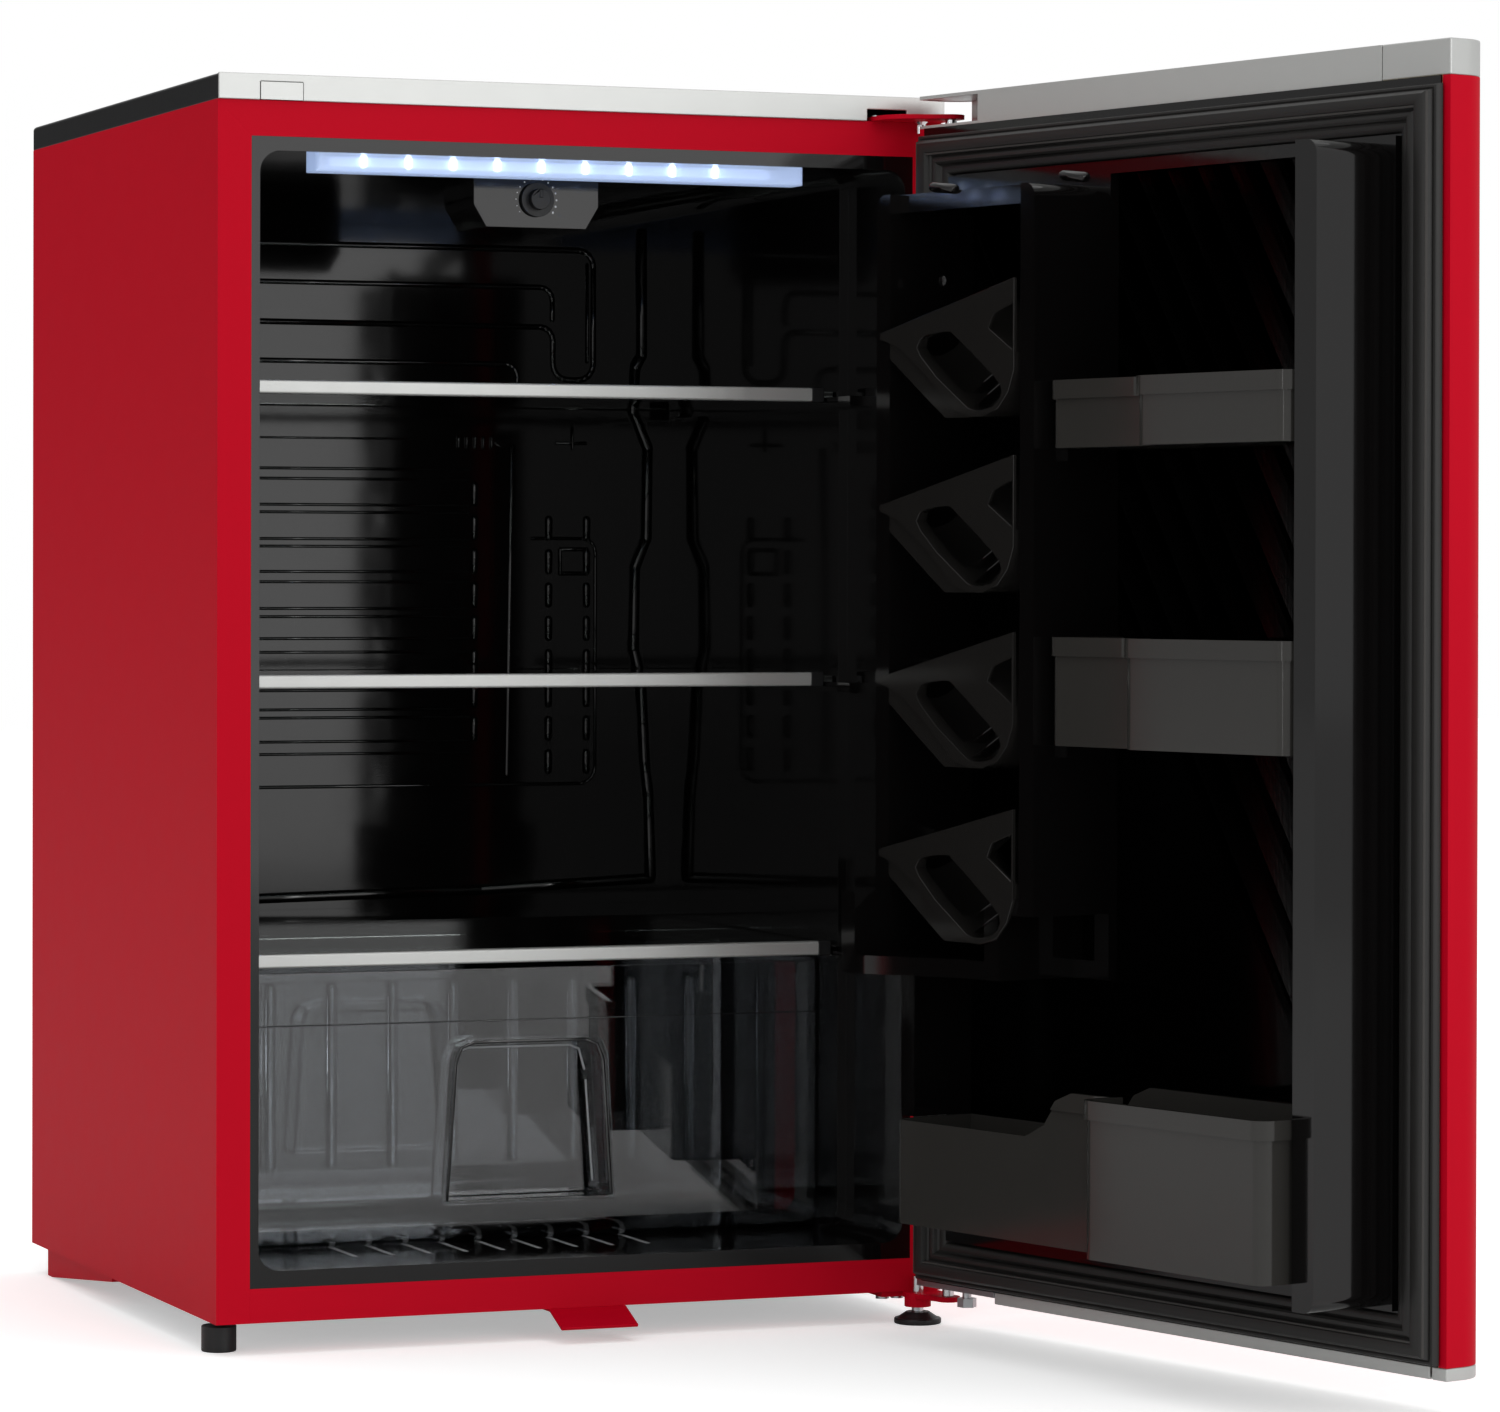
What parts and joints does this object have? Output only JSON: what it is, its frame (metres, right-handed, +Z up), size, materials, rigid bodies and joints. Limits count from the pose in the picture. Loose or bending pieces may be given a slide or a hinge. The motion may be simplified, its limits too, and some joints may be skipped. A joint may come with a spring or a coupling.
{
  "type": "mini fridge",
  "caption": "Compact upright refrigerator with a hinged door, glass shelves, a crisper drawer, door bins and sloped can holders.",
  "frame": {"origin": "floor level, midway across the cabinet, in the plane of the cabinet's front flange", "axes": "+Z up, +Y into the cabinet, +X to the hinge side; the door opens on the -Y side"},
  "size_m": [0.6416, 1.015, 0.831],
  "materials": {
    "red_steel": "glossy, fine orange peel",
    "galvanised": "dull zinc",
    "black_plastic": "satin",
    "silver_plastic": "satin silver paint",
    "foam": "rigid foam",
    "liner_black": "high gloss",
    "aluminium": "mill",
    "chrome": "polished",
    "zinc": "bright zinc",
    "board": "lacquered",
    "frosted_lens": "frosted",
    "shelf_glass": "clear",
    "smoked_clear": "clear",
    "black_enamel": "semi-gloss",
    "rubber": "matt",
    "copper": "drawn copper",
    "gasket": "soft, matt",
    "magnet": "matt",
    "white_plastic": "satin",
    "bin_black": "glossy, translucent black"
  },
  "bodies": {
    "cabinet": {"side_panel_left": "red_steel", "side_panel_right": "red_steel", "top_panel": "red_steel", "bottom_rail": "red_steel", "back_panel": "galvanised", "bottom_panel": "galvanised", "worktop": "black_plastic", "worktop_front_strip": "silver_plastic", "hinge_hole_cover": "silver_plastic", "cabinet_foam": "foam", "inner_liner": "liner_black", "evaporator_plate": "aluminium", "base_plate": "red_steel", "front_tab": "red_steel", "upper_hinge_plate": "red_steel", "hinge_pins": "chrome", "hinge_screws": "zinc", "lower_hinge_bracket": "red_steel", "led_board": "board", "led_lens": "frosted_lens", "thermostat_housing": "liner_black", "thermostat": "black_plastic", "compressor": "black_enamel", "compressor_mounts": "rubber", "relay_cover": "black_plastic", "cord_gland": "rubber", "drip_pan": "black_plastic", "condenser": "black_enamel", "condenser_brackets": "black_plastic", "filter_drier": "copper", "refrigerant_tubes": "copper"},
    "door": {"door_skin": "red_steel", "door_foam": "foam", "door_liner": "liner_black", "door_gasket": "gasket", "gasket_magnets": "magnet", "door_top_trim": "silver_plastic", "door_end_caps": "silver_plastic", "door_bottom_trim": "silver_plastic", "door_hinge_plate": "galvanised", "door_bushes": "white_plastic", "door_stop_bolt": "zinc", "can_holder_1": "bin_black", "can_holder_2": "bin_black", "can_holder_3": "bin_black", "can_holder_4": "bin_black"},
    "knob": {"thermostat_knob": "black_plastic"},
    "upper_shelf": {"upper_shelf_glass": "shelf_glass", "upper_shelf_trim": "silver_plastic"},
    "middle_shelf": {"middle_shelf_glass": "shelf_glass", "middle_shelf_trim": "silver_plastic"},
    "crisper_cover": {"crisper_cover_glass": "shelf_glass", "crisper_cover_trim": "silver_plastic"},
    "drawer": {"crisper_drawer": "smoked_clear"},
    "upper_bin": {"upper_bin": "bin_black"},
    "middle_bin": {"middle_bin": "bin_black"},
    "bottom_bin": {"bottom_bin": "bin_black"},
    "left_foot": {"front_foot_left": "black_plastic"},
    "right_foot": {"levelling_foot_right": "black_plastic", "levelling_stem_right": "chrome"}
  },
  "joints": [
    {"name": "door_hinge", "type": "hinge", "parent": "cabinet", "child": "door", "pos_m": [0.247, -0.033, 0.4], "axis": [0, 0, 1], "range_deg": [-104.5, 30.5]},
    {"name": "thermostat_turn", "type": "hinge", "parent": "cabinet", "child": "knob", "pos_m": [0, 0.1, 0.762], "axis": [0, 1, 0], "range_deg": [-150, 150]},
    {"name": "upper_shelf_slide", "type": "slide", "parent": "cabinet", "child": "upper_shelf", "axis": [0, -1, 0], "range_m": [0, 0.13]},
    {"name": "middle_shelf_slide", "type": "slide", "parent": "cabinet", "child": "middle_shelf", "axis": [0, -1, 0], "range_m": [0, 0.13]},
    {"name": "crisper_cover_slide", "type": "slide", "parent": "cabinet", "child": "crisper_cover", "axis": [0, -1, 0], "range_m": [0, 0.115]},
    {"name": "drawer_slide", "type": "slide", "parent": "cabinet", "child": "drawer", "axis": [0, -1, 0], "range_m": [0, 0.15]},
    {"name": "upper_bin_lift", "type": "slide", "parent": "door", "child": "upper_bin", "axis": [0, 0, 1], "range_m": [0, 0.03]},
    {"name": "middle_bin_lift", "type": "slide", "parent": "door", "child": "middle_bin", "axis": [0, 0, 1], "range_m": [0, 0.03]},
    {"name": "bottom_bin_lift", "type": "slide", "parent": "door", "child": "bottom_bin", "axis": [0, 0, 1], "range_m": [0, 0.03]},
    {"name": "left_foot_turn", "type": "hinge", "parent": "cabinet", "child": "left_foot", "pos_m": [-0.245, 0.031, 0], "axis": [0, 0, 1], "continuous": true},
    {"name": "right_foot_turn", "type": "hinge", "parent": "cabinet", "child": "right_foot", "pos_m": [0.2365, -0.006, 0], "axis": [0, 0, 1], "continuous": true}
  ]
}
